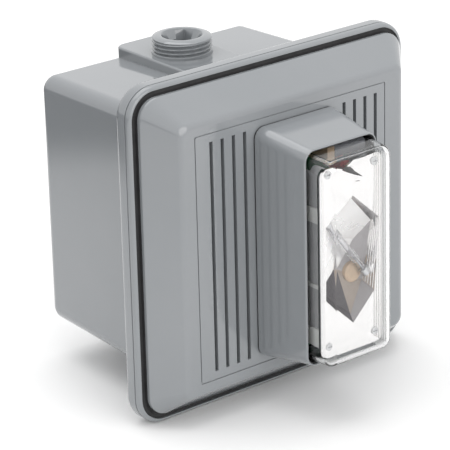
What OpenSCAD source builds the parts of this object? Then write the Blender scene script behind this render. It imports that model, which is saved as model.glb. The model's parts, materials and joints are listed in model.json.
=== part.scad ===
// Weatherproof horn strobe on a surface back box. Millimetres.
// The origin is the centre of the box's back face, on the wall. +Z is up and the front faces -Y.

/* [Back box] */
// Depth of the box, from the wall to the seat of the cover
box_d = 89; // [86:1:92]
// Width and height of the box at its back edge
box_back_w = 114.4; // [112:0.4:115]
// Width and height of the box where it meets the flange
box_front_w = 118; // [117:0.5:120]
// Radius of the box's rounded edges
box_r = 5.5; // [4:0.5:7]
// Wall thickness of the box
box_wall = 3; // [2.5:0.1:3.2]
// Width and height of the flange
flange_w = 150; // [149:0.5:152]
// Depth of the flange
flange_d = 10.5; // [10:0.5:12]
// Spacing of the four wall screws
wall_hole_pitch = 83.3; // [80:0.1:84]
// Diameter of the wall screw holes
wall_hole_d = 5.5; // [4.5:0.1:6]

/* [Conduit entries] */
// Outside diameter of the 3/4 inch pipe thread
thread_d = 26.67; // [26:0.01:27]
// Pitch of the pipe thread
thread_pitch = 1.814; // [1.7:0.002:1.9]
// Diameter of the open bottom entry
entry_d = 23.8; // [23:0.1:24.4]
// Distance of the entries from the wall
entry_y = 28.4; // [26:0.2:34]
// Width of the pads that carry the entries
pad_w = 33; // [32:0.5:38]
// Height of the pad faces above the box's centre
pad_z = 61.9; // [61:0.1:63]
// Height that the plug stands above its pad
plug_h = 8.1; // [7:0.1:9]
// Size of the plug's square socket
plug_square = 12.7; // [12:0.1:13]

/* [Front cover] */
// Width and height of the square cover
cover_w = 142; // [141:0.5:143]
// Straight depth of the cover's outer edge
cover_rim = 2.6; // [2.2:0.1:3]
// Depth of the cover, from its seat to its face
cover_d = 14.8; // [14.4:0.1:15.4]
// Width and height of the flat face
face_w = 120; // [119:0.5:121]
// Wall thickness of the cover
cover_wall = 2.5; // [2.2:0.1:2.7]
// Width of a sound slot
slot_w = 1.75; // [1.5:0.05:2]
// Length of a sound slot
slot_h = 102.4; // [98:0.2:104]
// Spacing of the sound slots
slot_pitch = 5.9; // [5.6:0.1:6]
// Distance of the outermost slot from the centre
slot_x = 44.9; // [44:0.1:45.5]
// Thickness of the cover's gasket
gasket_t = 2; // [1.5:0.1:2]

/* [Strobe] */
// Width of the strobe housing at its base
housing_w = 45.4; // [45:0.2:46]
// Height of the strobe housing at its base
housing_h = 103.6; // [103:0.2:104]
// Distance that the housing's rim stands in front of the cover's face
housing_d = 28.9; // [28:0.1:30]
// Width of the housing at its rim
rim_w = 39.2; // [39:0.1:39.6]
// Height of the housing at its rim
rim_h = 96.4; // [96.2:0.1:97]
// Width of the lens
lens_w = 36.6; // [36:0.1:37]
// Height of the lens
lens_h = 93.8; // [93:0.1:94.4]
// Distance that the lens stands in front of the housing's rim
lens_proud = 12.6; // [12:0.1:13]
// Width of the reflector
reflector_w = 31; // [30:0.2:31.2]
// Height of the reflector
reflector_h = 84.2; // [83:0.2:85]
// Length of the flash tube
tube_len = 30; // [28:0.5:31]

/* [Sounder] */
// Outside diameter of the driver's mounting ring
driver_d = 99; // [96:0.5:100]
// Diameter of the magnet
magnet_d = 60; // [54:1:60]

/* [Hidden] */
$fn = 64;
eps = 0.01;
fit_gap = 0.05;                           // radial gap round fasteners
seat_y = -box_d;                          // plane of the cover's seat
flange_back_y = seat_y + flange_d;
thread_len = 12;                          // length of the threads in both entries
gasket_y = seat_y + gasket_t;             // floor of the gasket's recess
face_y = seat_y - cover_d;
seal_t = 0.5;                             // dark joint under the strobe housing
rim_y = face_y - housing_d;
lens_y = rim_y - lens_proud;              // front of the lens
seal_gap = 0.5;                           // seal between lens and housing
lens_draft = 2.6;                         // how much shorter the lens is at its front
lens_r = 3.8;                             // radius of the lens's corners
housing_r = 5.2;                          // radius of the housing's corners at its base
ledge_y = rim_y + 9.3;                    // ledge that holds the lens's foot
strobe_board_y = ledge_y + 4.3;           // front of the strobe board
board_t = 1.6;
reflector_y = rim_y - 5.2;                // front of the reflector's plate
cover_bolt = 60.5;                        // cover screws, from the centre lines
chassis_bolt = 50.5;
chassis_y = seat_y + 5;                   // back of the chassis plate
chassis_t = 2.5;
post_x = 50;                              // pillars that carry the main board
post_z = 37;
main_y = -40;                             // front of the main board
main_back_y = main_y + board_t;
driver_y = chassis_y - chassis_t;         // back of the driver's mounting ring
top_plate_y = -60.5;                      // back of the driver's top plate
tag_y = -76;                              // back of the driver's tag
tone_x = 28;                              // tone switch on the main board
tone_z = -28;
lever_pitch = 2.54;
volume_x = 28;
volume_z = -12;
candela_x = -30;
candela_z = -14;
diamond_z = -2.5;                         // centre of the reflector's recess
recess_d = 11;
tube_tilt = 52.5;                         // slope of the flash tube
tube_y = reflector_y + 4;
housing_bolt_x = 17;
housing_bolt_z = 46;

grey = [0.60, 0.62, 0.64];
black = [0.05, 0.05, 0.06];
board_green = [0.10, 0.32, 0.18];
steel = [0.72, 0.73, 0.75];
brass_colour = [0.80, 0.65, 0.35];

// ---- helpers ----

// Draws what it holds facing the front: its X is X, its Y is +Z and its +Z points to the front
module facing(y) {
    translate([0, y, 0])
        rotate([90, 0, 0])
            children();
}

// Square outline with round corners, as true arcs
module round_rect(w, h, r) {
    square([w - 2 * r, h], center = true);
    square([w, h - 2 * r], center = true);
    for (x = [-1, 1], z = [-1, 1])
        translate([x * (w / 2 - r), z * (h / 2 - r)])
            circle(r);
}

// Plate with round corners, d deep towards the front from y
module slab(w, h, r, y, d) {
    facing(y)
        linear_extrude(d)
            round_rect(w, h, r);
}

// Thin plate for the stations of a hull
module station(w, h, r, y) {
    facing(y)
        linear_extrude(eps)
            round_rect(w, h, r, $fn = 32);
}

// Frame with a square opening, d deep towards the front from y
module frame_slab(w, h, r, inner_w, inner_h, inner_r, y, d) {
    facing(y)
        linear_extrude(d)
            difference() {
                round_rect(w, h, r);
                round_rect(inner_w, inner_h, inner_r);
            }
}

// Rod along the front-to-back axis at x, z
module rod(x, z, r, y, d) {
    translate([x, y, z])
        rotate([90, 0, 0])
            cylinder(h = d, r = r);
}

// Block given by its low corner and its size
module block(corner, size) {
    translate(corner)
        cube(size);
}

// The four corners at plus and minus x, z
module corners(x, z) {
    for (i = [-1, 1], j = [-1, 1])
        translate([i * x, 0, j * z])
            children();
}

// Pan-head screw: the head sits behind y and the shank runs d to the front
module pan_screw(y, head_r, head_t, shank_r, d) {
    difference() {
        rod(0, 0, head_r, y + head_t, head_t);
        block([-head_r * 0.6, y + head_t * 0.5, -0.5], [head_r * 1.2, head_t, 1]);
        block([-0.5, y + head_t * 0.5, -head_r * 0.6], [1, head_t, head_r * 1.2]);
    }
    rod(0, 0, shank_r, y, d);
}

// Round wire through a list of points, each stretch run a little into the next
module wire(points, r) {
    last = len(points) - 2;
    for (i = [0 : last]) {
        v = points[i + 1] - points[i];
        length = norm(v);
        before = i > 0 ? r * 0.5 : 0;
        after = i < last ? r * 0.5 : 0;
        translate(points[i])
            rotate([0, acos(v[2] / length), atan2(v[1], v[0])])
                translate([0, 0, -before])
                    cylinder(h = length + before + after, r = r * (i % 2 == 0 ? 1 : 0.9), $fn = 32);
    }
}

// ---- back box ----

module box_outside() {
    hull() {
        for (a = [0 : 22.5 : 90])
            station(box_back_w - 2 * box_r * (1 - sin(a)), box_back_w - 2 * box_r * (1 - sin(a)),
                    box_r * (0.4 + 0.6 * sin(a)) + 1, -box_r * (1 - cos(a)));
        station(box_front_w, box_front_w, box_r + 1, flange_back_y - 1);
    }
}

module box_cavity() {
    hull() {
        station(box_back_w - 2 * box_wall, box_back_w - 2 * box_wall, 3.6, -box_wall - 0.2);
        station(box_front_w - 2 * box_wall, box_front_w - 2 * box_wall, 4, seat_y - 1);
    }
}

module flange_bead() {
    bead = 3.5;
    hull()
        for (a = [0 : 30 : 90]) {
            inset = 2 * bead * (1 - sin(a));
            rise = bead * (1 - cos(a));
            station(flange_w - inset, flange_w - inset, 13 - inset / 2, flange_back_y - rise);
            station(flange_w - inset, flange_w - inset, 13 - inset / 2, seat_y + rise + eps);
        }
}

// Raised pad for a conduit entry, above or below the box
module entry_pad(side) {
    mirror([0, 0, side > 0 ? 0 : 1])
        translate([0, (flange_back_y - 1) / 2 - 0.4, 50])
            linear_extrude(pad_z - 50)
                round_rect(pad_w, -flange_back_y, 5);
}

// Boss inside the box that makes the entry's thread longer
module entry_boss(side) {
    mirror([0, 0, side > 0 ? 0 : 1])
        translate([0, -entry_y, pad_z - thread_len])
            cylinder(h = thread_len - 5, r = 17);
}

module back_box() color(grey) difference() {
    union() {
        difference() {
            union() {
                box_outside();
                flange_bead();
                entry_pad(1);
                entry_pad(-1);
            }
            box_cavity();
        }
        entry_boss(1);
        entry_boss(-1);
        rod(25, -40, 5, -box_wall, 6);
    }
    slab(cover_w + 4.2, cover_w + 4.2, 11.4, gasket_y, gasket_t + 1);
    corners(wall_hole_pitch / 2, wall_hole_pitch / 2)
        rod(0, 0, wall_hole_d / 2, 1, box_wall + 3);
    corners(cover_bolt, cover_bolt)
        rod(0, 0, 2.3, flange_back_y + 1, flange_d);
    translate([0, -entry_y, pad_z - 15])
        cylinder(h = 16, r = thread_d / 2 + fit_gap);
    translate([0, -entry_y, -pad_z - 1])
        cylinder(h = 16, r = entry_d / 2);
    rod(25, -40, 2 + fit_gap, -box_wall - 1, 6);
}

// Threaded plug with a square socket, a corner of the square towards the wall
module conduit_plug() color(grey) {
    r = thread_d / 2;
    depth = 0.9;
    ridges = floor((plug_h - 1.2) / thread_pitch);
    first = plug_h - 1.3 - ridges * thread_pitch;
    top = pad_z + plug_h;
    translate([0, -entry_y, 0])
        difference() {
            union() {
                translate([0, 0, pad_z - 13])
                    cylinder(h = 13, r = r);
                translate([0, 0, pad_z])
                    rotate_extrude()
                        polygon(concat(
                            [[0, -1], [r - 0.1, -1], [r - 0.1, first - 0.1]],
                            [for (i = [0 : ridges - 1], k = [0 : 3])
                                [k == 0 || k == 3 ? r - depth : r - 0.1,
                                 first + (i + [0.02, 0.38, 0.62, 0.98][k]) * thread_pitch]],
                            [[r - 0.2, plug_h - 0.8], [r - 1.2, plug_h - 0.3]],
                            [[r - 3.8, plug_h], [0, plug_h]]));
            }
            translate([0, 0, top - 4])
                cylinder(h = 4.2, r1 = plug_square / 2, r2 = plug_square * sqrt(2) / 2 + 0.6);
            rotate(45)
                translate([-plug_square / 2, -plug_square / 2, top - 9])
                    cube([plug_square, plug_square, 10]);
        }
}

// ---- cover ----

// The part that shows round the cover is thinner than the part under it
module cover_gasket() color(black) difference() {
    union() {
        frame_slab(cover_w + 3.8, cover_w + 3.8, 11.2, 115, 115, 6, gasket_y, gasket_t - 0.9);
        frame_slab(cover_w, cover_w, 9.6, 115, 115, 6, gasket_y, gasket_t);
    }
    corners(cover_bolt, cover_bolt)
        rod(0, 0, 2.4, gasket_y + 1, gasket_t + 2);
}

module cover_shape(inset) {
    w = cover_w - 2 * inset;
    f = face_w - 2 * inset * 0.75;
    hull() {
        station(w, w, 9 - inset, seat_y + (inset > 0 ? 1 : 0));
        station(w, w, 9 - inset, seat_y - cover_rim);
        station(f + 1.6, f + 1.6, 4, face_y + inset + 0.8);
        station(f - 1.6, f - 1.6, 3.2, face_y + inset + eps);
    }
}

module front_cover() color(grey) difference() {
    union() {
        difference() {
            cover_shape(0);
            cover_shape(cover_wall);
        }
        corners(cover_bolt, cover_bolt)
            rod(0, 0, 3.6, seat_y, 8.5);
        corners(chassis_bolt, chassis_bolt)
            rod(0, 0, 3.5, driver_y, -(face_y + 1 - driver_y));
    }
    for (side = [-1, 1], i = [0 : 3])
        translate([side * (slot_x - i * slot_pitch), face_y + 1, 0])
            cube([slot_w, 8, slot_h], center = true);
    slab(30, 80, 4, face_y + 5, 8);
    translate([-1.45, 0, 0])
        frame_slab(104, 110.4, 1, 103, 109.4, 0.7, face_y + 0.4, 1);
    corners(cover_bolt, cover_bolt)
        rod(0, 0, 2 + fit_gap, seat_y + 1, 8);
    corners(chassis_bolt, chassis_bolt)
        rod(0, 0, 1.5 + fit_gap, driver_y + 1, 12);
    corners(housing_bolt_x, housing_bolt_z)
        rod(0, 0, 1.5, face_y + 5, 8);
}

module cover_screws() color(steel)
    corners(cover_bolt, cover_bolt)
        pan_screw(flange_back_y, 3.6, 2.6, 2, flange_d + 6);

// ---- strobe ----

module housing_seal() color(black) difference() {
    slab(housing_w - 0.6, housing_h - 0.6, housing_r - 0.3, face_y, seal_t);
    slab(30, 80, 4, face_y + 1, 2);
    corners(housing_bolt_x, housing_bolt_z)
        rod(0, 0, 1.5, face_y + 1, 2);
}

module strobe_housing() color(grey) {
    base_y = face_y - seal_t;
    difference() {
        union() {
            difference() {
                hull() {
                    station(housing_w, housing_h, housing_r, base_y);
                    station(rim_w, rim_h, lens_r + 1.2, rim_y + 0.8);
                    station(rim_w - 0.8, rim_h - 0.8, lens_r + 0.9, rim_y + eps);
                }
                hull() {
                    station(housing_w - 4.4, housing_h - 4.4, housing_r - 1.4, base_y + 1);
                    station(lens_w + 2.4, lens_h + 2.4, lens_r + 0.8, ledge_y);
                }
            }
            corners(housing_bolt_x, housing_bolt_z)
                rod(0, 0, 2.8, base_y, base_y - strobe_board_y - board_t);
        }
        slab(lens_w + 2 * seal_gap, lens_h + 2 * seal_gap, lens_r + seal_gap, ledge_y + 1, 20);
        corners(housing_bolt_x, housing_bolt_z)
            rod(0, 0, 1.1 + fit_gap, base_y + 1, 11);
    }
}

module housing_screws() color(steel)
    corners(housing_bolt_x, housing_bolt_z)
        pan_screw(face_y + cover_wall, 2.4, 1.6, 1.1, 10);

module lens_seal() color(black)
    frame_slab(lens_w + 2 * seal_gap, lens_h + 2 * seal_gap, lens_r + seal_gap,
               lens_w, lens_h, lens_r, ledge_y - 1, 7.5);

module lens() color([0.9, 0.93, 0.95, 0.35]) {
    wall = 1.3;
    edge = 2.4;
    difference() {
        union() {
            slab(lens_w + 2, lens_h + 2, lens_r + 0.8, strobe_board_y, strobe_board_y - ledge_y);
            hull() {
                station(lens_w, lens_h, lens_r, ledge_y + eps);
                for (a = [0 : 22.5 : 90])
                    station(
                        lens_w - 0.8 - 2 * edge * (1 - cos(a)),
                        lens_h - lens_draft - 2 * edge * (1 - cos(a)),
                        lens_r - 0.5 * edge * (1 - cos(a)),
                        lens_y + edge * (1 - sin(a)) + eps
                    );
            }
        }
        hull() {
            station(lens_w - 2 * wall, lens_h - 2 * wall, lens_r - 1.1, strobe_board_y + 1);
            station(lens_w - 2 * wall - 0.8, lens_h - 2 * wall - lens_draft, lens_r - 1.1, lens_y + 3.4);
            station(
                lens_w - 2 * wall - 3.2,
                lens_h - 2 * wall - 2.4 - lens_draft,
                lens_r - 1.5,
                lens_y + 1.5
            );
        }
    }
}

// Outline of the reflector's diamond recess, seen from the front
function diamond(scale, grow) = [
    for (p = [[0.6, 28.5], [13, 15], [13, -15], [0.6, -28.5], [-13, -15], [-13, 15]])
        [p[0] * scale + sign(p[0]) * grow, diamond_z + p[1] * scale + sign(p[1]) * grow]
];

module diamond_cup(grow) {
    hull() {
        facing(reflector_y + eps)
            linear_extrude(eps)
                polygon(diamond(1, grow));
        facing(reflector_y + recess_d + grow)
            linear_extrude(eps)
                polygon(diamond(0.5, grow));
    }
}

module tube_path(r, extra) {
    translate([0.5, tube_y, 2])
        rotate([0, 90 + tube_tilt, 0])
            translate([0, 0, -(tube_len + extra) / 2])
                cylinder(h = tube_len + extra, r = r);
}

module reflector() color([0.92, 0.92, 0.93]) difference() {
    union() {
        slab(reflector_w, reflector_h, 4, reflector_y + 1, 1);
        diamond_cup(0.8);
    }
    translate([0, -eps, 0])
        diamond_cup(0);
    tube_path(2.8, 12);
    corners(reflector_w / 2 - 3, reflector_h / 2 - 4)
        rod(0, 0, 1 + fit_gap, reflector_y + 2, 3);
}

module reflector_carrier() color([0.22, 0.23, 0.25]) {
    d = strobe_board_y - reflector_y - 1;
    wall = 0.9;
    w = reflector_w - 0.6;
    difference() {
        union() {
            for (side = [-1, 1])
                translate([side * (w - wall) / 2, strobe_board_y - d / 2, 0])
                    cube([wall, d, 77], center = true);
            for (z = [-38, 31])
                translate([0, strobe_board_y - d / 2, z])
                    cube([w, d, wall], center = true);
            corners(reflector_w / 2 - 3, reflector_h / 2 - 4)
                rod(0, 0, 2.2, reflector_y + 6.8, 5.8);
        }
        corners(reflector_w / 2 - 3, reflector_h / 2 - 4)
            rod(0, 0, 1 + fit_gap, reflector_y + 8, 12);
    }
}

// Pale tabs that steady the carrier's left and right walls inside the lens
module carrier_tabs() color([0.85, 0.86, 0.84])
    for (side = [-1, 1], tab = [[20.2, 6.6], [-11.2, 1.8], [-34.2, 8]])
        block([side * (reflector_w / 2 - 0.05) - 0.25, reflector_y + 1.4, tab[0] - tab[1] / 2],
              [0.5, strobe_board_y - reflector_y - 1.6, tab[1]]);

module reflector_screws() color(steel)
    corners(reflector_w / 2 - 3, reflector_h / 2 - 4) {
        difference() {
            rod(0, 0, 1.7, reflector_y, 0.9);
            block([-1.2, reflector_y - 1.4, -0.2], [2.4, 1, 0.4]);
        }
        rod(0, 0, 1, reflector_y + 6, 6);
    }

module flash_tube() color([0.95, 0.95, 0.98, 0.5])
    tube_path(1.6, 0);

// Metal end caps of the flash tube, with pins back to the board
module tube_terminals() color(steel)
    for (side = [-1, 1]) {
        end_x = 0.5 + side * cos(tube_tilt) * (tube_len / 2 + 1.7);
        end_z = 2 - side * sin(tube_tilt) * (tube_len / 2 + 1.7);
        translate([0.5, tube_y, 2])
            rotate([0, 90 + tube_tilt, 0])
                translate([0, 0, side > 0 ? tube_len / 2 : -tube_len / 2 - 3.4])
                    cylinder(h = 3.4, r = 2.1);
        rod(end_x, end_z, 0.5, strobe_board_y, strobe_board_y - tube_y - 1.5);
    }

module strobe_board() color(board_green)
    slab(34, 91, 3, strobe_board_y + board_t, board_t);

module strobe_capacitor() color([0.55, 0.56, 0.60]) {
    translate([-0.3, strobe_board_y - 7.2, 41.8])
        rotate([0, 90, 0])
            cylinder(h = 16.6, r = 3);
    block([-0.3, strobe_board_y - 4.4, 40.2], [16.6, 4.4, 3]);
}

module trigger_coil() color([0.65, 0.08, 0.08]) {
    rod(5.6, 35.8, 2.6, strobe_board_y, 9);
    rod(5.6, 35.8, 1.2, strobe_board_y - 9, 1);
}

module film_capacitor() color([0.78, 0.68, 0.55])
    translate([-2.8, strobe_board_y - 5.2, 42])
        cube([3.8, 10.4, 5], center = true);

// ---- sound path ----

module acoustic_screen() color([0.08, 0.08, 0.09])
    for (side = [-1, 1])
        translate([side * 36.2, face_y + cover_wall + 0.25, 0])
            cube([21, 0.5, 107], center = true);

module chassis() color([0.12, 0.12, 0.13]) difference() {
    union() {
        slab(109.4, 109.4, 4, chassis_y, chassis_t);
        frame_slab(109.4, 109.4, 4, 107.8, 107.8, 3, chassis_y + 4, 4);
    }
    rod(0, 0, 44.2, chassis_y + 1, chassis_t + 2);
    corners(chassis_bolt, chassis_bolt)
        rod(0, 0, 1.7, chassis_y + 1, chassis_t + 2);
    corners(post_x, post_z)
        rod(0, 0, 1.8 + fit_gap, chassis_y + 1, chassis_t + 2);
    corners(33, 33)
        rod(0, 0, 1.2 + fit_gap, chassis_y + 1, chassis_t + 2);
    block([-53, chassis_y - 4, -27], [5, 10, 10]);
}

module chassis_screws() color(steel)
    corners(chassis_bolt, chassis_bolt)
        pan_screw(chassis_y, 2.9, 2, 1.5, 12);

module driver_basket() color([0.30, 0.31, 0.33]) difference() {
    facing(0)
        rotate_extrude($fn = 96)
            polygon([
                [43.3, -driver_y + 2], [43.3, -driver_y - 1.9], [27.2, -top_plate_y + 7.5],
                [14.5, -top_plate_y + 7.5], [14.5, -top_plate_y + 6], [28, -top_plate_y + 6],
                [44, -driver_y - 2.9], [44, -driver_y],
                [driver_d / 2, -driver_y], [driver_d / 2, -driver_y + 2]
            ]);
    for (a = [0 : 60 : 300])
        rotate([0, a, 0])
            block([30, -82, -6], [9, 11, 12]);
    corners(33, 33)
        rod(0, 0, 1.4, driver_y + 1, 4);
}

// Tag on the basket's side where the driver's leads end
module driver_tag() color(brass_colour) difference() {
    block([-5, tag_y - 4, 33], [10, 4, 10.5]);
    facing(top_plate_y - 6)
        cylinder(h = -driver_y - 2.9 + top_plate_y - 6, r1 = 28, r2 = 44);
}

module driver_screws() color(steel)
    corners(33, 33)
        mirror([0, 1, 0])
            translate([0, 2 - driver_y, 0])
                pan_screw(0, 2.3, 1.5, 1.2, 4.3);

module top_plate() color(steel) facing(top_plate_y) difference() {
    cylinder(h = 6, r = 27);
    translate([0, 0, -1])
        cylinder(h = 8, r = 13.9);
}

module magnet() color([0.16, 0.16, 0.17]) facing(top_plate_y + 10) difference() {
    cylinder(h = 10, r = magnet_d / 2);
    translate([0, 0, -1])
        cylinder(h = 12, r = 15);
}

module pole_piece() color(steel) facing(top_plate_y + 14) {
    cylinder(h = 4, r = 27);
    cylinder(h = 18, r = 12.4);
}

// Coil former with its winding
module voice_coil() color([0.75, 0.45, 0.25]) facing(top_plate_y - 1) {
    difference() {
        cylinder(h = 13, r = 13.15);
        translate([0, 0, -1])
            cylinder(h = 16, r = 12.85);
    }
    difference() {
        cylinder(h = 4.5, r = 13.45);
        translate([0, 0, -1])
            cylinder(h = 7, r = 13.15);
    }
}

module driver_cone() color([0.14, 0.14, 0.15]) facing(0)
    rotate_extrude($fn = 96)
        polygon([
            [13.15, 73.4], [13.9, 73.4], [37, 85], [37.7, 85],
            [37.7, 85.8], [36.4, 85.8], [13.15, 74.4]
        ]);

// Half-round roll at the cone's edge
module cone_surround() color(black) facing(0)
    rotate_extrude($fn = 96)
        translate([39.7, 85.8])
            difference() {
                circle(2.6, $fn = 32);
                circle(2, $fn = 32);
                translate([-4, -4])
                    square([8, 4]);
            }

module dust_cap() color([0.10, 0.10, 0.11]) facing(0)
    rotate_extrude()
        polygon([
            [0, 78], [5, 77.5], [9, 76.4], [12.85, 74.4],
            [12.85, 73.6], [8.8, 75.7], [4.9, 76.8], [0, 77.3]
        ]);

// ---- electronics ----

module board_pillars() color(brass_colour)
    corners(post_x, post_z) {
        difference() {
            translate([0, main_y, 0])
                rotate([90, 0, 0])
                    cylinder(h = main_y - chassis_y, r = 3.6, $fn = 6);
            rod(0, 0, 1.5 + fit_gap, main_y + 1, 9);
        }
        rod(0, 0, 1.8, chassis_y, chassis_t);
    }

module main_board() color(board_green) difference() {
    slab(107, 90, 3, main_back_y, board_t);
    corners(post_x, post_z)
        rod(0, 0, 1.6, main_back_y + 1, board_t + 2);
}

module board_screws() color(steel)
    corners(post_x, post_z)
        pan_screw(main_back_y, 2.8, 1.9, 1.5, 8);

module terminal_block() color([0.12, 0.38, 0.25]) difference() {
    block([-16, main_back_y, -38], [32, 12, 10]);
    for (i = [0 : 5]) {
        x = (i - 2.5) * 5.08;
        rod(x, -33.4, 2.1, main_back_y + 13, 6);
        block([x - 1.7, main_back_y + 1.6, -39], [3.4, 4.2, 5]);
    }
}

module terminal_screws() color(steel)
    for (i = [0 : 5]) {
        x = (i - 2.5) * 5.08;
        difference() {
            rod(x, -33.4, 1.9, main_back_y + 10.6, 3.6);
            block([x - 1.5, main_back_y + 9.8, -33.65], [3, 1.4, 0.5]);
        }
    }

function lever_x(i) = tone_x + (i - 1.5) * lever_pitch;

module tone_switch_body() color([0.10, 0.18, 0.55]) difference() {
    block([tone_x - 6, main_back_y, tone_z - 4.5], [12, 5, 9]);
    for (i = [0 : 3])
        block([lever_x(i) - 0.9, main_back_y + 2.8, tone_z - 1.8], [1.8, 3, 3.6]);
}

module tone_lever(i) color([0.95, 0.95, 0.93])
    block([lever_x(i) - 0.6, main_back_y + 3.1, tone_z - 1.5], [1.2, 2.9, 1.4]);

module volume_switch_body() color(steel) difference() {
    block([volume_x - 5, main_back_y, volume_z - 2.5], [10, 4.4, 5]);
    block([volume_x - 2.3, main_back_y + 1.5, volume_z - 1], [4.6, 4, 2]);
}

module volume_knob() color(black)
    block([volume_x - 2, main_back_y + 1.8, volume_z - 0.7], [2, 5.4, 1.4]);

module candela_switch_body() color(steel) difference() {
    block([candela_x - 8, main_back_y, candela_z - 3], [16, 4.6, 6]);
    block([candela_x - 4.4, main_back_y + 1.5, candela_z - 1.2], [8.8, 4, 2.4]);
}

module candela_knob() color([0.9, 0.35, 0.1])
    block([candela_x - 4.1, main_back_y + 1.8, candela_z - 0.9], [2.2, 6.2, 1.8]);

module main_capacitor() color([0.10, 0.12, 0.30])
    rod(40, -24, 6.3, main_y, 20);

// Laminated core with the winding round its middle limb
module audio_transformer() color([0.35, 0.36, 0.38]) {
    difference() {
        block([-50, main_y - 18, 14], [20, 18, 16]);
        block([-47, main_y - 15, 13], [14, 12, 18]);
    }
    block([-41.5, main_y - 15, 12], [3, 12, 20]);
}

module controller_chip() color(black)
    block([-8, main_back_y, 6], [12, 2, 12]);

// Pair of leads from the driver's rim to the main board, with the board plug
module driver_leads() color([0.7, 0.1, 0.1]) {
    for (x = [-1.3, 1.3])
        wire([[x, main_y - 5, 41.5], [x, main_y - 12, 41.5], [x * 1.9, -60, 45], [x * 1.9, -68, 45],
              [x, tag_y + 3, 41.5], [x, tag_y, 41.5]], 0.7);
    block([-4, main_y - 6, 39], [8, 6, 5]);
}

// Pair of leads from the main board, through the chassis, to the strobe board
module strobe_leads() color([0.15, 0.15, 0.16]) {
    for (s = [0, 1])
        wire([
            [-50 + s * 0.2, main_y - 5, -21 - s * 2.4],
            [-50.4, -70, -21 - s * 2.4], [-50.4, -92, -21 - s * 2.4],
            [-40, -97, -30 - s * 2.4], [-12 + s * 2.4, -99, -34 - s * 2],
            [-6 + s * 2.4, -110, -34], [-6 + s * 2.4, strobe_board_y + board_t, -34]
        ], 0.7);
    block([-52.5, main_y - 6, -25.8], [5, 6, 8]);
}

module earth_screw() color([0.25, 0.55, 0.25])
    translate([25, 0, -40])
        mirror([0, 1, 0])
            translate([0, box_wall + 6, 0])
                pan_screw(0, 4, 2.6, 2, 4.5);

back_box();
conduit_plug();
cover_gasket();
front_cover();
cover_screws();
housing_seal();
strobe_housing();
housing_screws();
lens_seal();
lens();
reflector_carrier();
carrier_tabs();
reflector();
reflector_screws();
flash_tube();
tube_terminals();
strobe_board();
strobe_capacitor();
trigger_coil();
film_capacitor();
acoustic_screen();
chassis();
chassis_screws();
driver_basket();
driver_tag();
driver_screws();
top_plate();
magnet();
pole_piece();
voice_coil();
driver_cone();
cone_surround();
dust_cap();
board_pillars();
main_board();
board_screws();
terminal_block();
terminal_screws();
tone_switch_body();
tone_lever(0);  // tone_lever_1
tone_lever(1);  // tone_lever_2
tone_lever(2);  // tone_lever_3
tone_lever(3);  // tone_lever_4
volume_switch_body();
volume_knob();
candela_switch_body();
candela_knob();
main_capacitor();
audio_transformer();
controller_chip();
driver_leads();
strobe_leads();
earth_screw();
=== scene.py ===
import bpy
import bmesh
import json
import math
from mathutils import Vector, Matrix


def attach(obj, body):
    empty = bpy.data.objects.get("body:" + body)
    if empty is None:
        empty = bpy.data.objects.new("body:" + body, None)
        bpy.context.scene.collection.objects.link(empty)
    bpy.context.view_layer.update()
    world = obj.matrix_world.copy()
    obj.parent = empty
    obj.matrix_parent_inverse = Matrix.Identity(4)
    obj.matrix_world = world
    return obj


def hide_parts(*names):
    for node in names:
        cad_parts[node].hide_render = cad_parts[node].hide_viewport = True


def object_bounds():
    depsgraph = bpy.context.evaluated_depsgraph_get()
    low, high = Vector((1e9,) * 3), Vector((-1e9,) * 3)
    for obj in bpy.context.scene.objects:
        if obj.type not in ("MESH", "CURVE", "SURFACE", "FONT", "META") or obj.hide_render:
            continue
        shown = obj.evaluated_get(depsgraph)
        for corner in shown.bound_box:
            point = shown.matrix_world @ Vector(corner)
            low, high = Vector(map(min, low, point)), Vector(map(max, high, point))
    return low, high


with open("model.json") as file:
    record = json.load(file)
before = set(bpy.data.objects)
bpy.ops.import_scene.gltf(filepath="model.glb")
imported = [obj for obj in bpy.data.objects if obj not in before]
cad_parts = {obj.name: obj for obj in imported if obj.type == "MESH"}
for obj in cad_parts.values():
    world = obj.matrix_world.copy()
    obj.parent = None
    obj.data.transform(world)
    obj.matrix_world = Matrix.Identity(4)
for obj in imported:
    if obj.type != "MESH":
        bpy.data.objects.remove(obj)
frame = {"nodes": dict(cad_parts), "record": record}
cad_lo, cad_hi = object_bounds()
MM = 0.001
nodes = frame["nodes"]


# ---------------------------------------------------------------- mesh tools

def ring(hx, hz, r, y, seg=8):
    """Rounded rectangle in a plane of constant y, as points in millimetres."""
    r = min(r, hx - 0.01, hz - 0.01)
    pts = []
    for cx, cz, a0 in ((1, 1, 0), (-1, 1, 90), (-1, -1, 180), (1, -1, 270)):
        for i in range(seg + 1):
            a = math.radians(a0 + 90 * i / seg)
            pts.append((cx * (hx - r) + r * math.cos(a), y, cz * (hz - r) + r * math.sin(a)))
    return pts


def to_mesh(name, bm, angle=35):
    bmesh.ops.remove_doubles(bm, verts=bm.verts, dist=0.002 * MM)
    bmesh.ops.recalc_face_normals(bm, faces=bm.faces)
    me = bpy.data.meshes.new(name)
    bm.to_mesh(me)
    bm.free()
    for p in me.polygons:
        p.use_smooth = True
    me.set_sharp_from_angle(angle=math.radians(angle))
    ob = bpy.data.objects.new(name, me)
    bpy.context.scene.collection.objects.link(ob)
    return ob


def loft_bm(bm, rings, closed=False, caps=True):
    rows = [[bm.verts.new(Vector(p) * MM) for p in r] for r in rings]
    n = len(rows[0])
    pairs = list(zip(rows, rows[1:]))
    if closed:
        pairs.append((rows[-1], rows[0]))
    for a, b in pairs:
        for i in range(n):
            j = (i + 1) % n
            bm.faces.new((a[i], a[j], b[j], b[i]))
    if caps and not closed:
        bm.faces.new(rows[0])
        bm.faces.new(rows[-1])


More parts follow.
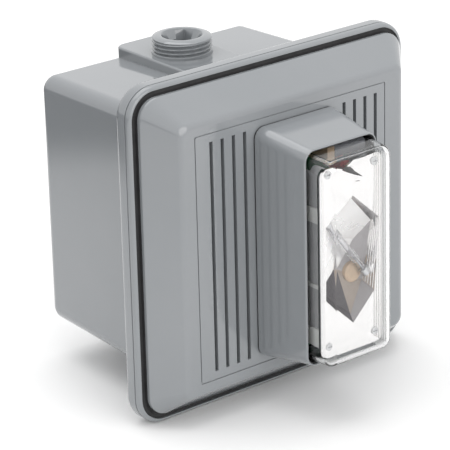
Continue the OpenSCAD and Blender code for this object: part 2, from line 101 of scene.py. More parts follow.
def loft(name, rings, closed=False, caps=True, angle=35):
    bm = bmesh.new()
    loft_bm(bm, rings, closed, caps)
    return to_mesh(name, bm, angle)


def soften(ob):
    """Area-weighted normals, so that flat faces shade flat beside their rounded edges."""
    m = ob.modifiers.new("normals", "WEIGHTED_NORMAL")
    m.keep_sharp = True
    m.weight = 60
    return ob


def block_bm(bm, lo, hi):
    m = Matrix.Translation([(a + b) / 2 * MM for a, b in zip(lo, hi)])
    s = Matrix.Diagonal([(b - a) * MM for a, b in zip(lo, hi)] + [1])
    bmesh.ops.create_cube(bm, size=1, matrix=m @ s)


def tube_bm(bm, p, axis, r, length, seg=48, r2=None):
    """Cylinder or cone from p along axis."""
    q = Vector(axis).normalized().to_track_quat("Z", "Y").to_matrix().to_4x4()
    at = Vector(p) * MM + Vector(axis).normalized() * length * MM / 2
    bmesh.ops.create_cone(bm, cap_ends=True, segments=seg, radius1=r * MM,
                          radius2=(r if r2 is None else r2) * MM, depth=length * MM,
                          matrix=Matrix.Translation(at) @ q)


def carve(ob, cutter_bm, op="DIFFERENCE", angle=35):
    """Exact boolean with the cutter, applied to the mesh."""
    cm = bpy.data.meshes.new("cutter")
    bmesh.ops.recalc_face_normals(cutter_bm, faces=cutter_bm.faces)
    cutter_bm.to_mesh(cm)
    cutter_bm.free()
    cutter = bpy.data.objects.new("cutter", cm)
    bpy.context.scene.collection.objects.link(cutter)
    m = ob.modifiers.new("cut", "BOOLEAN")
    m.operation = op
    m.solver = "EXACT"
    m.object = cutter
    dg = bpy.context.evaluated_depsgraph_get()
    me = bpy.data.meshes.new_from_object(ob.evaluated_get(dg))
    ob.modifiers.clear()
    old = ob.data
    ob.data = me
    bpy.data.meshes.remove(old)
    bpy.data.objects.remove(cutter)
    bpy.data.meshes.remove(cm)
    for p in me.polygons:
        p.use_smooth = True
    me.set_sharp_from_angle(angle=math.radians(angle))
    return ob


# ---------------------------------------------------------------- materials

def new_mat(name):
    m = bpy.data.materials.new(name)
    m.use_nodes = True
    nt = m.node_tree
    nt.nodes.clear()
    out = nt.nodes.new("ShaderNodeOutputMaterial")
    bsdf = nt.nodes.new("ShaderNodeBsdfPrincipled")
    nt.links.new(bsdf.outputs[0], out.inputs[0])
    return m, nt, bsdf


def noise(nt, scale, detail=3.0, rough=0.5, stretch=(1, 1, 1)):
    tc = nt.nodes.new("ShaderNodeTexCoord")
    mp = nt.nodes.new("ShaderNodeMapping")
    mp.inputs["Scale"].default_value = stretch
    nt.links.new(tc.outputs["Object"], mp.inputs[0])
    n = nt.nodes.new("ShaderNodeTexNoise")
    n.inputs["Scale"].default_value = scale
    n.inputs["Detail"].default_value = detail
    n.inputs["Roughness"].default_value = rough
    nt.links.new(mp.outputs[0], n.inputs["Vector"])
    return n


def ramp(nt, src, stops):
    r = nt.nodes.new("ShaderNodeValToRGB")
    el = r.color_ramp.elements
    while len(el) < len(stops):
        el.new(0.5)
    for e, (pos, col) in zip(el, stops):
        e.position = pos
        e.color = tuple(col) + (1.0,) if len(col) == 3 else tuple(col)
    nt.links.new(src, r.inputs[0])
    return r


def bump(nt, bsdf, src, strength, dist):
    b = nt.nodes.new("ShaderNodeBump")
    b.inputs["Strength"].default_value = strength
    b.inputs["Distance"].default_value = dist
    nt.links.new(src, b.inputs["Height"])
    nt.links.new(b.outputs[0], bsdf.inputs["Normal"])
    return b


def varied(name, col, var=0.08, rough=(0.25, 0.4), metallic=0.0, scale=120.0, bump_s=0.05, bump_d=0.0002,
           stretch=(1, 1, 1), coat=0.0, spec=0.5, ior=1.5):
    """Moulded, painted or metal surface with fine colour, gloss and height variation."""
    m, nt, b = new_mat(name)
    n = noise(nt, scale, 4, 0.55, stretch)
    dark = [c * (1 - var) for c in col]
    lite = [min(1, c * (1 + var)) for c in col]
    r = ramp(nt, n.outputs["Fac"], [(0.3, dark), (0.7, lite)])
    nt.links.new(r.outputs[0], b.inputs["Base Color"])
    n2 = noise(nt, scale * 0.35, 5, 0.6, stretch)
    rr = ramp(nt, n2.outputs["Fac"], [(0.3, [rough[0]] * 3), (0.7, [rough[1]] * 3)])
    nt.links.new(rr.outputs[0], b.inputs["Roughness"])
    b.inputs["Metallic"].default_value = metallic
    b.inputs["Coat Weight"].default_value = coat
    b.inputs["Coat Roughness"].default_value = 0.05
    b.inputs["Specular IOR Level"].default_value = spec
    b.inputs["IOR"].default_value = ior
    n3 = noise(nt, scale * 4, 3, 0.5, stretch)
    bump(nt, b, n3.outputs["Fac"], bump_s, bump_d)
    return m


def glass(name, col, rough=0.0, ior=1.5, bump_s=0.02):
    m, nt, b = new_mat(name)
    n = noise(nt, 18, 2, 0.5)
    r = ramp(nt, n.outputs["Fac"], [(0.3, [c * 0.985 for c in col]), (0.7, col)])
    nt.links.new(r.outputs[0], b.inputs["Base Color"])
    n2 = noise(nt, 60, 3, 0.5)
    rr = ramp(nt, n2.outputs["Fac"], [(0.35, [rough] * 3), (0.75, [rough + 0.02] * 3)])
    nt.links.new(rr.outputs[0], b.inputs["Roughness"])
    b.inputs["Transmission Weight"].default_value = 1.0
    b.inputs["IOR"].default_value = ior
    bump(nt, b, noise(nt, 35, 1, 0.4).outputs["Fac"], bump_s, 0.0006)
    return m


def shell_plastic():
    """Glossy grey enamel: faint flow marks, light wear in the gloss and a trace of orange peel."""
    m, nt, b = new_mat("grey_shell")
    n = noise(nt, 14, 5, 0.55)
    r = ramp(nt, n.outputs["Fac"], [(0.25, SHELL_DARK), (0.8, SHELL_LIGHT)])
    nt.links.new(r.outputs[0], b.inputs["Base Color"])
    scuff = noise(nt, 7, 6, 0.65, (1, 1, 3))
    rr = ramp(nt, scuff.outputs["Fac"], [(0.35, (0.07, 0.07, 0.07)), (0.7, (0.13, 0.13, 0.13))])
    nt.links.new(rr.outputs[0], b.inputs["Roughness"])
    b.inputs["IOR"].default_value = 1.53
    b.inputs["Coat Weight"].default_value = 0.5
    b.inputs["Coat Roughness"].default_value = 0.04
    bump(nt, b, noise(nt, 130, 2, 0.4).outputs["Fac"], 0.05, 0.0002)
    return m


def cloth_mat(name, col):
    """Woven screen or cone cloth: two crossed wave patterns."""
    m, nt, b = new_mat(name)
    tc = nt.nodes.new("ShaderNodeTexCoord")
    w1 = nt.nodes.new("ShaderNodeTexWave")
    w2 = nt.nodes.new("ShaderNodeTexWave")
    w1.bands_direction, w2.bands_direction = "X", "Z"
    for w in (w1, w2):
        w.inputs["Scale"].default_value = 420
        nt.links.new(tc.outputs["Object"], w.inputs["Vector"])
    mul = nt.nodes.new("ShaderNodeMath")
    mul.operation = "MULTIPLY"
    nt.links.new(w1.outputs["Fac"], mul.inputs[0])
    nt.links.new(w2.outputs["Fac"], mul.inputs[1])
    r = ramp(nt, mul.outputs[0], [(0.1, [c * 0.4 for c in col]), (0.8, col)])
    nt.links.new(r.outputs[0], b.inputs["Base Color"])
    b.inputs["Roughness"].default_value = 0.85
    bump(nt, b, mul.outputs[0], 0.4, 0.0003)
    return m


SHELL_DARK, SHELL_LIGHT = (0.211, 0.225, 0.237), (0.235, 0.246, 0.257)
GREY = shell_plastic()
RUBBER = varied("rubber", (0.012, 0.012, 0.013), 0.3, (0.5, 0.75), scale=200, bump_s=0.15)
LENS = glass("lens_clear", (0.985, 0.99, 0.99), 0.0, 1.47, 0.01)
FROSTED = glass("frosted_band", (0.97, 0.965, 0.96), 0.55, 1.25, 0.05)
TUBE = glass("tube_glass", (0.98, 0.98, 1.0), 0.0, 1.47)
MIRROR = varied("metallised", (0.83, 0.815, 0.812), 0.02, (0.07, 0.16), 1.0, scale=60, bump_s=0.04)
# metallised copies with painted reflections for the reflector's facets: mauve, tan and dark painted shade,
# and a pale painted sheen
PAINTED_REFLECTION_MAUVE = varied("metallised_painted_reflection_mauve", (0.36, 0.34, 0.35), 0.06, (0.3, 0.45), 0.3, scale=60, bump_s=0.06)
PAINTED_REFLECTION_TAN = varied("metallised_painted_reflection_tan", (0.36, 0.30, 0.255), 0.1, (0.3, 0.45), 0.25, scale=90, bump_s=0.06)
PAINTED_REFLECTION_DARK = varied("metallised_painted_reflection_dark", (0.055, 0.045, 0.055), 0.2, (0.3, 0.45), 0.3, scale=120, bump_s=0.06)
PAINTED_REFLECTION_PALE = varied("metallised_painted_reflection_pale", (0.97, 0.955, 0.95), 0.02, (0.22, 0.34), 0.7, scale=60, bump_s=0.05)

# the CAD nodes' looks, by the record's material slots
SLOT_MATS = {
    "grey_housing": GREY,
    "black_rubber": RUBBER,
    "steel": varied("zinc_steel", (0.62, 0.62, 0.63), 0.08, (0.2, 0.36), 1.0, scale=300, bump_s=0.1),
    "lens_clear": LENS,
    "tube_glass": TUBE,
    "reflector_metallised": MIRROR,
    "carrier_grey": varied("carrier_grey", (0.42, 0.42, 0.43), 0.06, (0.3, 0.5), scale=150),
    "pale_plastic": varied("pale_plastic", (0.72, 0.73, 0.71), 0.05, (0.3, 0.45), scale=150),
    "circuit_board": varied("circuit_board", (0.02, 0.11, 0.045), 0.35, (0.25, 0.4), scale=90, coat=0.4),
    "capacitor_grey": varied("capacitor_grey", (0.30, 0.31, 0.34), 0.08, (0.2, 0.3), scale=150, coat=0.3),
    "red_plastic": varied("red_plastic", (0.42, 0.012, 0.014), 0.15, (0.25, 0.4), scale=200, coat=0.3),
    "capacitor_beige": varied("capacitor_beige", (0.60, 0.44, 0.30), 0.12, (0.35, 0.5), scale=160),
    "screen_cloth": cloth_mat("screen_cloth", (0.03, 0.03, 0.032)),
    "black_plastic": varied("black_plastic", (0.018, 0.018, 0.020), 0.2, (0.35, 0.5), scale=200),
    "basket_paint": varied("basket_paint", (0.05, 0.052, 0.058), 0.2, (0.35, 0.5), scale=220),
    "ferrite": varied("ferrite", (0.025, 0.025, 0.027), 0.3, (0.55, 0.75), scale=260, bump_s=0.3),
    "copper_wire": varied("copper_wire", (0.55, 0.24, 0.10), 0.2, (0.2, 0.35), 1.0, scale=300,
                          stretch=(1, 20, 1)),
    "cone_cloth": cloth_mat("cone_cloth", (0.035, 0.035, 0.038)),
    "brass": varied("brass", (0.62, 0.42, 0.16), 0.12, (0.2, 0.35), 1.0, scale=260),
    "terminal_green": varied("terminal_green", (0.02, 0.16, 0.07), 0.12, (0.3, 0.42), scale=160),
    "switch_blue": varied("switch_blue", (0.015, 0.03, 0.22), 0.12, (0.3, 0.42), scale=160),
    "knob_orange": varied("knob_orange", (0.75, 0.12, 0.015), 0.1, (0.3, 0.42), scale=160),
    "sleeve_blue": varied("sleeve_blue", (0.012, 0.016, 0.09), 0.15, (0.2, 0.3), scale=160, coat=0.4),
    "transformer_iron": varied("transformer_iron", (0.10, 0.10, 0.11), 0.25, (0.4, 0.6), 0.7, scale=200,
                               stretch=(1, 1, 30)),
    "lead_black": varied("lead_black", (0.02, 0.02, 0.022), 0.2, (0.4, 0.55), scale=240),
    "earth_green": varied("earth_green", (0.05, 0.22, 0.06), 0.15, (0.3, 0.45), 0.3, scale=240),
}

for sub in frame["record"]["subparts"]:
    ob = nodes[sub["node"]]
    ob.data.materials.clear()
    ob.data.materials.append(SLOT_MATS[sub["material_slot"]])


def finish_piece(ob, mat, slot, body, *replaced):
    if len(ob.data.materials):
        ob.data.materials.clear()
    ob.data.materials.append(mat)
    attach(ob, body)
    if replaced:
        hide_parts(*replaced)
    return ob


# ---------------------------------------------------------------- dimensions, mm

# places along Y, from the wall forwards
SEAT = -89.0                    # cover's seat on the gasket
FACE = -103.8                   # cover's flat face
LEDGE = -123.4                  # step that carries the lens
RIM = -132.7                    # housing's open edge
PLATE = -137.9                  # reflector's front
LENS_FRONT = -145.3

# conduit entries
ENTRY_Y = -28.4                 # their axis
TOP_ENTRY_R = 13.385
BOTTOM_ENTRY_R = 11.9
PAD_Z = 61.9                    # outside of the pads
PAD_FOOT_Z = 50.0
PAD_Y = (-79.5, -0.8)
PAD_HALF_W = 16.5
PAD_EDGE = 1.0

# conduit plug
PLUG_H = 8.1                    # above the pad
PLUG_STEPS = 144                # points round it
WELL_R = 9.35
SOCKET_HALF = 6.35
SOCKET_FLOOR = -1.2             # from the pad

# holes in the box
WALL_HOLE_AT, WALL_HOLE_R = 41.65, 2.75
SCREW_AT, SCREW_HOLE_R = 60.5, 2.3

# front cover
SLOT_OUTER, SLOT_PITCH, SLOT_HALF_W, SLOT_HALF_L = 44.9, 5.9, 0.875, 51.2
GROOVE_X = (-53.45, 50.55)
GROOVE_HALF_Z, GROOVE_W, GROOVE_DEPTH = 55.2, 0.5, 0.45
LOW_EDGE_LIFT = 1.3             # cover's lower edge, above its place in the CAD

BODY = "housing"


# ---------------------------------------------------------------- back box

def box_rings():
    path = []
    for i in range(9):                                  # rounded back edge
        a = math.radians(90 * i / 8)
        path.append((57.2 - 5.5 * (1 - math.sin(a)), -5.5 * (1 - math.cos(a)), 6.5 - 3.3 * (1 - math.sin(a))))
    path.append((58.88, -76.6, 6.5))
    for i in range(1, 7):                               # fillet into the flange
        a = math.radians(90 * i / 6)
        path.append((60.8 - 1.9 * math.cos(a), -76.6 - 1.9 * math.sin(a), 6.5 + 1.9 * (1 - math.cos(a))))
    for i in range(9):                                  # rear rounding of the flange
        a = math.radians(90 * i / 8)
        path.append((71.5 + 3.5 * math.sin(a), -82.0 + 3.5 * math.cos(a), 9.7 + 3.5 * math.sin(a)))
    path += [(75.0, -85.5, 13.2), (74.9, -85.66, 13.1), (74.3, -85.75, 12.5), (74.25, -86.05, 12.45),
             (74.85, -86.15, 13.05)]
    for i in range(9):                                  # front bead
        a = math.radians(5 + 57 * i / 8)
        c, q = math.cos(a) ** 0.7, math.sin(a) ** 0.7
        path.append((71.6 + 3.3 * c, -85.9 - 2.75 * q, 9.8 + 3.3 * c))
    path += [(73.1, -88.4, 11.4), (73.1, -87.0, 11.4), (57, -87.0, 5.6),
             (56.0, -86.6, 4.6), (54.3, -3.6, 3.8), (54.0, -3.2, 3.6)]
    return [ring(h, h, r, y, 12) for h, y, r in path]


def pad_bm(side):
    """Raised pad of a conduit entry, with a softly rounded outer edge."""
    levels = [(PAD_FOOT_Z, 0.0)]
    for deg in range(0, 91, 15):
        a = math.radians(deg)
        levels.append((PAD_Z - PAD_EDGE + PAD_EDGE * math.sin(a), PAD_EDGE * (1 - math.cos(a))))
    mid_y, half_y = sum(PAD_Y) / 2, (PAD_Y[1] - PAD_Y[0]) / 2
    rows = []
    for z, inset in levels:
        outline = ring(PAD_HALF_W - inset, half_y - inset, 4.5 - inset * 0.5, 0)
        rows.append([(px, mid_y - pz, side * z) for px, _, pz in outline])
    bm = bmesh.new()
    loft_bm(bm, rows)
    return bm


box = loft("box_shell", box_rings())
cavity = bmesh.new()
loft_bm(cavity, [ring(h, h, r, y, 12) for h, r, y in (
    (56.0, 4.6, -86.6), (54.3, 3.8, -3.6), (54.0, 3.6, -3.2))])
for side in (1, -1):
    carve(box, pad_bm(side), "UNION")
carve(box, cavity)
for side in (1, -1):
    boss = bmesh.new()                                  # thickens the wall round an entry
    tube_bm(boss, (0, ENTRY_Y, side * (PAD_Z - 12)), (0, 0, side), 17, 7.0, 64)
    carve(box, boss, "UNION")
cut = bmesh.new()
tube_bm(cut, (0, ENTRY_Y, 46), (0, 0, 1), TOP_ENTRY_R, 18, 96)
tube_bm(cut, (0, ENTRY_Y, -46), (0, 0, -1), BOTTOM_ENTRY_R, 18, 96)
for sx in (-1, 1):
    for sz in (-1, 1):
        tube_bm(cut, (sx * WALL_HOLE_AT, 1, sz * WALL_HOLE_AT), (0, -1, 0), WALL_HOLE_R, 6, 32)
        tube_bm(cut, (sx * SCREW_AT, -77, sz * SCREW_AT), (0, -1, 0), SCREW_HOLE_R, 12, 32)
carve(box, cut)
finish_piece(soften(box), GREY, "grey_housing", BODY, "back_box")


# ---------------------------------------------------------------- conduit plug

def plug_profile(theta, z):
    """Radius of the taper thread at an angle and a height above the pad, under a domed lip."""
    r_out, depth, pitch = 13.33, 1.1, 1.814
    t = (z / pitch - theta / (2 * math.pi) + 0.15) % 1.0
    tooth = min(1.0, max(0.0, (abs(t - 0.5) * 2 - 0.12) / 0.66))
    fade = min(1.0, max(0.0, (PLUG_H - 0.9 - z) / 0.6)) * min(1.0, max(0.0, (z - 0.9) / 0.8))
    r = r_out - depth * (1 - tooth) * fade - 0.03 * z
    return min(r, WELL_R + 3.85 * math.sqrt(max(0.0, PLUG_H - z)))


def plug_level(z, radius_at):
    """Points round the plug at a height above the pad; radius_at gives the radius at an angle."""
    angles = [2 * math.pi * i / PLUG_STEPS for i in range(PLUG_STEPS)]
    return [(math.cos(t) * radius_at(t), ENTRY_Y + math.sin(t) * radius_at(t), PAD_Z + z) for t in angles]


def plug_rings():
    """Outside of the plug from its foot to the lip, then its round well down to the socket."""
    heights = [-3.0] + [i * 0.12 for i in range(60)]
    heights += [PLUG_H - d for d in (0.85, 0.7, 0.55, 0.4, 0.28, 0.17, 0.08, 0.03, 0.0)]
    well = ((WELL_R - 0.25, 0.08), (WELL_R - 0.4, 0.35), (6.6, 4.0), (6.35, 4.1))
    rings = [plug_level(z, lambda t: plug_profile(t, max(z, 0.0))) for z in heights]
    return rings + [plug_level(PLUG_H - drop, lambda t: r) for r, drop in well]


def socket_bm():
    """Square key socket, with its upright edges a little rounded."""
    bm = bmesh.new()
    block_bm(bm, (-SOCKET_HALF, -SOCKET_HALF, PAD_Z + SOCKET_FLOOR), (SOCKET_HALF, SOCKET_HALF, PAD_Z + 10))
    uprights = [e for e in bm.edges if abs(e.verts[0].co.z - e.verts[1].co.z) > MM]
    bmesh.ops.bevel(bm, geom=uprights, offset=0.35 * MM, segments=3, affect="EDGES")
    bmesh.ops.translate(bm, verts=bm.verts, vec=(0, ENTRY_Y * MM, 0))
    return bm


plug = loft("plug_body", plug_rings(), angle=50)
carve(plug, socket_bm(), angle=50)
finish_piece(soften(plug), GREY, "grey_housing", BODY, "conduit_plug")


# ---------------------------------------------------------------- gasket

gasket = loft("gasket_ring", [ring(h, h, r, y, 12) for h, y, r in (
    (57.5, -87.0, 6), (72.9, -87.0, 11.2), (72.9, -87.7, 11.2), (72.7, -87.9, 11.0), (71.2, -88.0, 9.7),
    (71.0, -88.9, 9.5), (57.5, -88.95, 6))], closed=True)
finish_piece(soften(gasket), RUBBER, "black_rubber", BODY, "cover_gasket")


# ---------------------------------------------------------------- front cover

def cover_rings():
    slope = math.degrees(math.atan2(12.2, 10.92))       # bevel's slope from the face plane
    path = [(58.0, -101.3, 3.2), (58.7, -101.2, 3.6), (68.5, -91.4, 6.5), (68.5, -89.0, 6.5)]
    path += [(70.6, -89.0, 8.7), (70.9, -89.12, 8.9), (71.0, -89.4, 9)]
    r1 = 1.1
    t1 = r1 * math.tan(math.radians(90 - slope) / 2)
    for i in range(6):                                  # rim to bevel
        a = math.radians((90 - slope) * i / 5)
        path.append((71.0 - r1 + r1 * math.cos(a), -91.0 + t1 - r1 * math.sin(a), 9 - r1 * (1 - math.cos(a))))
    r2 = 4.2
    t2 = r2 * math.tan(math.radians(slope) / 2)
    for i in range(9):                                  # bevel to face
        a = math.radians(90 - slope + slope * i / 8)
        path.append((60.08 - t2 + r2 * math.cos(a), FACE + r2 - r2 * math.sin(a), 3.4 + 1.5 * math.cos(a)))
    rings = []
    for h, y, r in path:                                # the lower edge sits a little higher on the flange
        lift = LOW_EDGE_LIFT * max(0.0, (h - 60.08) / 10.92)
        rings.append([(x, q, z + lift if z < 0 else z) for x, q, z in ring(h, h, r, y, 12)])
    return rings


cover = loft("cover_shell", cover_rings())
cut = bmesh.new()
for side in (-1, 1):
    for i in range(4):                                  # sound slots
        x = side * (SLOT_OUTER - SLOT_PITCH * i)
        block_bm(cut, (x - SLOT_HALF_W, -106, -SLOT_HALF_L), (x + SLOT_HALF_W, -99, SLOT_HALF_L))
block_bm(cut, (-15, -106, -40), (15, -99, 40))          # way through to the strobe
carve(cover, cut)


def groove_bm():
    """Fine groove round the slotted field."""
    half_x, mid_x = (GROOVE_X[1] - GROOVE_X[0]) / 2, sum(GROOVE_X) / 2
    rows = []
    outside, floor_y = FACE - 1, FACE + GROOVE_DEPTH
    for inset, y in ((0, outside), (0, floor_y), (GROOVE_W, floor_y), (GROOVE_W, outside)):
        outline = ring(half_x - inset, GROOVE_HALF_Z - inset, 0.8, y, 3)
        rows.append([(px + mid_x, py, pz) for px, py, pz in outline])
    bm = bmesh.new()
    loft_bm(bm, rows, closed=True)
    return bm


carve(cover, groove_bm())
finish_piece(soften(cover), GREY, "grey_housing", BODY, "front_cover")


# ---------------------------------------------------------------- strobe housing

def housing_rings():
    def at(t):                                          # drafted outside between base and rim
        return 22.7 - 3.1 * t, 51.8 - 3.6 * t, 5.2 - 0.2 * t
    base, top = FACE - 0.5, RIM
    rows = [(18.8, 47.4, 4.3, LEDGE + 0.1), (19.2, 47.9, 4.7, LEDGE + 0.2), (20.6, 49.6, 3.8, base)]
    rows += [(22.1, 51.2, 4.6, base), (22.5, 51.6, 5.0, base - 0.2), (22.66, 51.76, 5.2, base - 0.6)]
    n = 6
    for i in range(1, n + 1):
        t = i / (n + 1)
        hx, hz, r = at(t)
        rows.append((hx, hz, r, base - 0.6 + (top + 1.9 - base + 0.6) * t))
    for i in range(8):                                  # rounded outer edge of the rim
        a = math.radians(8 + 82 * i / 7)
        hx, hz, r = at(1.0)
        inset = 0.62 * (1 - math.cos(a))
        rows.append((hx - inset, hz - inset, r - 0.5 * (1 - math.cos(a)), top + 1 - math.sin(a)))
    rows += [(18.88, 47.48, 4.38, top + 0.05), (18.8, 47.4, 4.3, top + 0.25)]
    return [ring(hx, hz, r, y, 12) for hx, hz, r, y in rows]


housing = loft("strobe_shell", housing_rings(), closed=True)
finish_piece(soften(housing), GREY, "grey_housing", BODY, "strobe_housing")


# ---------------------------------------------------------------- lens

def lens_rings():
    """Clear cover, a little smaller at its front, with rounded front edges and a foot behind the ledge."""
    wall, r_out, r_in = 1.3, 4.2, 2.9
    hx, hz, draft_x, draft_z = 18.3, 46.9, 0.4, 1.3
    rows = []
    for i in range(12):
        a = math.radians(90 * i / 11)
        rows.append((hx - draft_x - r_out + r_out * math.sin(a), hz - draft_z - r_out + r_out * math.sin(a),
                     1.8 + 2.4 * math.sin(a), LENS_FRONT + r_out * (1 - math.cos(a))))
    rows += [(hx, hz, 3.8, LEDGE), (hx + 0.5, hz + 0.5, 4.3, LEDGE + 0.1)]
    rows += [(hx + 0.5, hz + 0.5, 4.3, LEDGE + 4.2), (hx - wall, hz - wall, 2.6, LEDGE + 4.3)]
    hx, hz = hx - wall, hz - wall
    for i in range(11, -1, -1):
        a = math.radians(90 * i / 11)
        rows.append((hx - draft_x - r_in + r_in * math.sin(a), hz - draft_z - r_in + r_in * math.sin(a),
                     1.1 + 1.9 * math.sin(a), LENS_FRONT + wall + r_in * (1 - math.cos(a))))
    return [ring(a, b, r, y, 12) for a, b, r, y in rows]


lens = loft("lens_shell", lens_rings())
finish_piece(soften(lens), LENS, "lens_clear", BODY, "lens")


# ---------------------------------------------------------------- reflector

def rod_bm(bm, p, q, r, seg=8):
    """Round wire from p to q, in millimetres."""
    v = Vector(q) - Vector(p)
    tube_bm(bm, p, v, r, v.length, seg)


# corners of the recess at the plate and at its floor, and the floor's two low points: x, z and depth
RIM_HEX = [(0.7, 26.1), (15.2, 13.0), (12.6, -19.6), (0.6, -31.1), (-14.2, -17.2), (-14.0, 15.4)]
DEEP_HEX = [(1.0, 24.6, 1.2), (14.4, 10.6, 3.8), (11.8, -16.8, 7.0), (1.0, -28.4, 2.2), (-13.0, -14.6, 7.0),
            (-13.0, 9.8, 7.0)]
DEEP_MID = [(8.6, 2.0, 9.0), (-0.6, -9.2, 9.0)]
# material slot of each facet, each but the first a painted reflection: 0 bright, 1 mauve, 2 tan, 3 dark, 4
# pale
WALL_PAINTED_REFLECTIONS = (0, 0, 1, 3, 4, 4)
FLOOR_FACES = ((0, (0,), 4), (1, (1, 0), 1), (2, (1,), 2), (3, (1,), 3), (4, (0, 1), 4), (5, (0,), 4))


def plate_point(x, z, depth=0.0):
    return Vector((x * MM, (PLATE + depth) * MM, z * MM))


def plate_outline():
    """Edge of the plate from the front, with the notch in its top edge."""
    pts = [(p[0] + 0.4, p[2] - 1.3) for p in ring(16.0, 41.6, 3.0, 0, 6)]
    right_top = [p for p in pts if p[0] > 0.4 and p[1] > 0]
    rest = [p for p in pts if not (p[0] > 0.4 and p[1] > 0)]
    right_top = [(x, z + 0.9) for x, z in right_top]
    notch = [(6.6, 40.7), (1.5, 40.8), (-1.9, 39.0), (0.8, 38.2), (2.2, 36.6), (6.0, 33.6), (6.3, 33.0)]
    notch += [(5.6, 32.9), (2.6, 34.0), (-1.6, 36.1), (-5.4, 38.1), (-9.2, 40.1)]
    return right_top + notch + rest


def reflector_mesh():
    """Bright plate with a faceted hexagonal recess: steep sides and a folded floor."""
    bm = bmesh.new()
    outer = plate_outline()
    front = [bm.verts.new(plate_point(x, z)) for x, z in outer]
    hole = [bm.verts.new(plate_point(x, z)) for x, z in RIM_HEX]
    n = len(front)
    edges = [bm.edges.new((front[i], front[(i + 1) % n])) for i in range(n)]
    edges += [bm.edges.new((hole[i], hole[(i + 1) % 6])) for i in range(6)]
    bmesh.ops.triangle_fill(bm, use_beauty=True, use_dissolve=False, edges=edges)
    back = [bm.verts.new(plate_point(x, z, 1.0)) for x, z in outer]
    for i in range(n):
        bm.faces.new((front[i], front[(i + 1) % n], back[(i + 1) % n], back[i]))
    deep = [bm.verts.new(plate_point(*v)) for v in DEEP_HEX]
    mid = [bm.verts.new(plate_point(*v)) for v in DEEP_MID]
    # each facet keeps the bright metallised material or takes one with a painted reflection
    shade = {}
    for i in range(6):
        f = bm.faces.new((hole[i], hole[(i + 1) % 6], deep[(i + 1) % 6], deep[i]))
        shade[f] = WALL_PAINTED_REFLECTIONS[i]
    for i, inner, painted_reflection in FLOOR_FACES:
        shade[bm.faces.new([deep[i], deep[(i + 1) % 6]] + [mid[k] for k in inner])] = painted_reflection
    for f, painted_reflection in shade.items():
        f.material_index = painted_reflection
    return to_mesh("reflector_plate", bm, 12)


reflector = reflector_mesh()
solid = reflector.modifiers.new("thickness", "SOLIDIFY")
solid.thickness = 0.5 * MM
solid.offset = 1
finish_piece(reflector, MIRROR, "reflector_metallised", BODY, "reflector")
# the materials with painted reflections, for the recess's facets
for extra in (PAINTED_REFLECTION_MAUVE, PAINTED_REFLECTION_TAN, PAINTED_REFLECTION_DARK, PAINTED_REFLECTION_PALE):
    reflector.data.materials.append(extra)

# folded edges and the curled lip of the notch, as fine beads in the painted dark reflection: painted shade
# along the folds
bm = bmesh.new()
rim3 = [(x, PLATE, z) for x, z in RIM_HEX]
deep3 = [(x, PLATE + d, z) for x, z, d in DEEP_HEX]
mid3 = [(x, PLATE + d, z) for x, z, d in DEEP_MID]
for i in range(6):
    rod_bm(bm, rim3[i], rim3[(i + 1) % 6], 0.16)
    rod_bm(bm, rim3[i], deep3[i], 0.1)
for a, b in ((deep3[0], mid3[0]), (mid3[0], mid3[1]), (mid3[1], deep3[3]), (deep3[1], mid3[0]),
             (deep3[2], mid3[1]), (deep3[2], deep3[3]), (deep3[1], deep3[2])):
    rod_bm(bm, a, b, 0.12)
lip = [(7.2, 30.3), (5.6, 31.0), (3.6, 31.6), (2.4, 31.8)]
for a, b in zip(lip, lip[1:]):
    rod_bm(bm, (a[0], PLATE - 0.25, a[1]), (b[0], PLATE - 0.25, b[1]), 0.22, 10)
beads = to_mesh("reflector_folds", bm, 40)
finish_piece(beads, PAINTED_REFLECTION_DARK, "reflector_metallised", BODY)

# upright ribs on the right wall of the recess
bm = bmesh.new()
for i in range(5):
    t = (i + 0.5) / 5
    upper = (15.2 - 0.8 * t, PLATE + 3.8 * t, 12.4 - 2.4 * t)
    lower = (12.6 - 0.8 * t, PLATE + 7 * t, -18.9 + 2.8 * t)
    rod_bm(bm, upper, lower, 0.4, 12)
ribs = to_mesh("reflector_ribs", bm, 40)
finish_piece(ribs, MIRROR, "reflector_metallised", BODY)


# pale boot round the tube's lower end
bm = bmesh.new()
for r0, r1, y0, y1 in ((4.7, 4.5, 8.8, 6.4), (4.5, 3.7, 6.4, 5.8)):
    tube_bm(bm, (6.6, PLATE + y0, -11.8), (0, -1, 0), r0, y0 - y1, 40, r1)
boot = to_mesh("tube_boot", bm, 30)
finish_piece(boot, SLOT_MATS["capacitor_beige"], "capacitor_beige", BODY)

# fluted strip inside the lens's right wall, a little thinner at its ends
rows = []
for z, thinner in ((-43.5, 0.12), (-43.0, 0.0), (41.0, 0.0), (41.5, 0.12)):
    face = [(16.55 + thinner + 0.16 * math.cos(math.pi * k / 2), -143.2 + 0.35 * k, z) for k in range(33)]
    back_x = (16.95 - thinner, 16.85 - thinner, 16.8 - thinner)
    rows.append(face + [(x, y, z) for x, y in zip(back_x, (-132.0, -141.0, -143.2))])
fluted = loft("lens_flutes", rows, angle=50)
finish_piece(fluted, FROSTED, "lens_clear", BODY)


# ---------------------------------------------------------------- flash tube

TUBE_AT = Vector((0.5, -133.9, 2.0))
TUBE_TILT = math.radians(52.5)
TUBE_DIR = Vector((math.cos(TUBE_TILT), 0, -math.sin(TUBE_TILT)))
ACROSS = Vector((0, 1, 0))                              # across the tube, towards the wall


def round_tube(along, angle, r):
    """Point at a distance r from the tube's axis."""
    out = ACROSS * math.cos(angle) + TUBE_DIR.cross(ACROSS) * math.sin(angle)
    return TUBE_AT + TUBE_DIR * along + out * r


def tube_ring(along, r, seg=32):
    return [tuple(round_tube(along, 2 * math.pi * i / seg, r)) for i in range(seg)]


